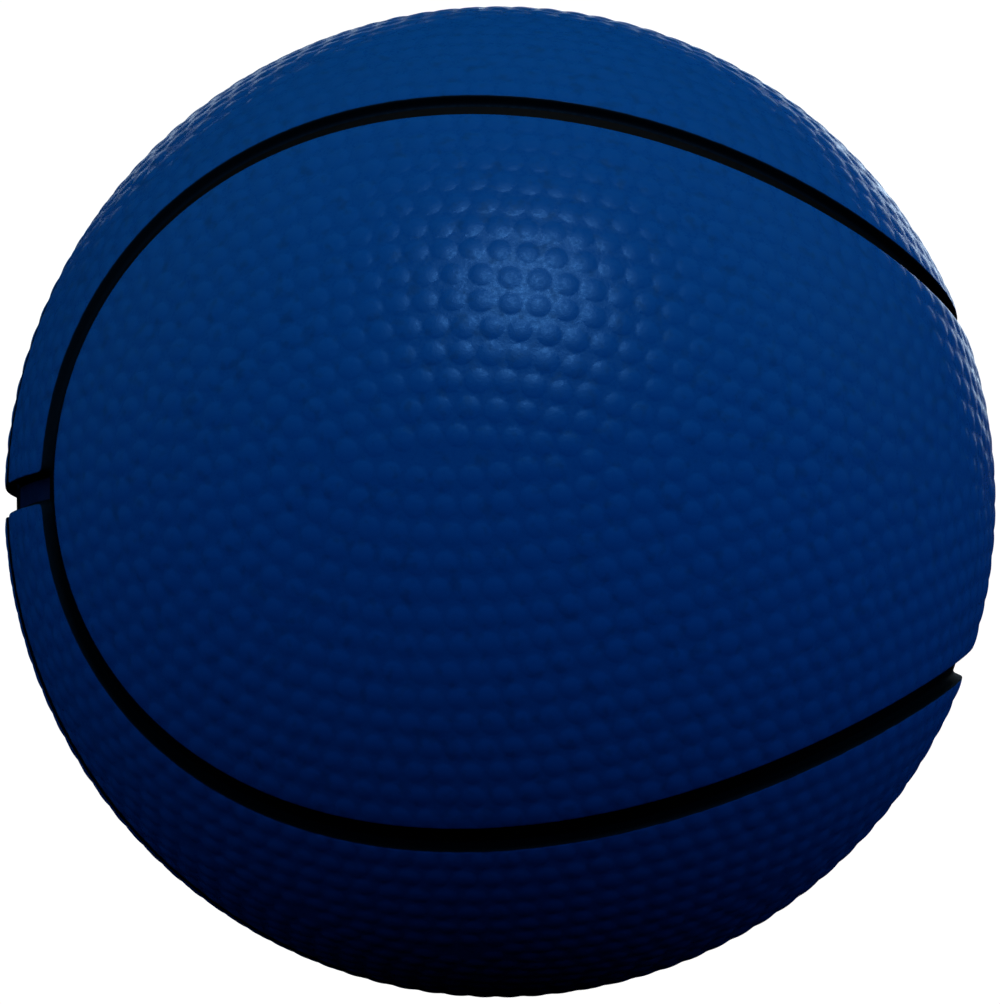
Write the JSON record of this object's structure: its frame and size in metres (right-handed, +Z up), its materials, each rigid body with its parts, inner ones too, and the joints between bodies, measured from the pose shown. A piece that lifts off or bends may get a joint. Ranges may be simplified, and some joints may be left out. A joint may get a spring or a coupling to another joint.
{
  "type": "stress ball",
  "caption": "Round foam squeeze ball for the palm, with a pebbled skin in fields parted by sunken channels in a basketball pattern.",
  "frame": {"origin": "centre of the ball", "axes": "+Z up; the large plain panel faces -Y; the lobed panels' shared waist is at +X, and the channels cross at -X"},
  "size_m": [0.0634, 0.0636, 0.0634],
  "materials": {
    "foam": "open-celled soft polyurethane foam",
    "skin": "satin blue coat on a pebbled foam skin",
    "channel_paint": "matt black paint on a smooth foam skin"
  },
  "bodies": {
    "root": {"foam_core": "foam", "front_panel": "skin", "back_panel": "skin", "upper_front_panel": "skin", "upper_back_panel": "skin", "lower_front_panel": "skin", "lower_back_panel": "skin", "seam_channel": "channel_paint", "meridian_channel": "channel_paint", "waist_channel": "channel_paint", "cross_channel": "channel_paint"}
  },
  "joints": []
}
